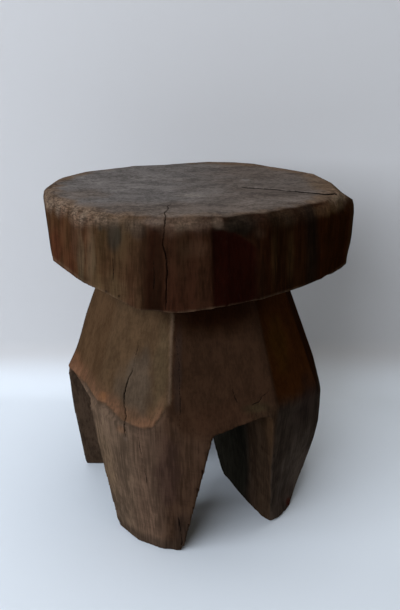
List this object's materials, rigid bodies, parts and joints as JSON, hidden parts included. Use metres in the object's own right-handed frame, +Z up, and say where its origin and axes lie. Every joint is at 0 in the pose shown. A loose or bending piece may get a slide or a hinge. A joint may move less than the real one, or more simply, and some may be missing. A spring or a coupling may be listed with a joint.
{
  "type": "mushroom stool",
  "caption": "Hewn hardwood stool with a thick mushroom cap for a seat, wedged on the tenon of a flared log base that stands on stout legs.",
  "frame": {"origin": "on the floor, under the middle of the outline seen from above", "axes": "+Z up, -Y towards the viewer of the picture, +X to the viewer's right"},
  "size_m": [0.394, 0.3822, 0.45],
  "materials": {
    "cap_wood": "weathered, worn bare hardwood",
    "base_wood": "weathered, worn bare hardwood",
    "wedge_wood": "split, unfinished"
  },
  "bodies": {
    "root": {"seat_cap": "cap_wood", "base": "base_wood", "tenon_wedge_front": "wedge_wood", "tenon_wedge_rear": "wedge_wood"}
  },
  "joints": []
}
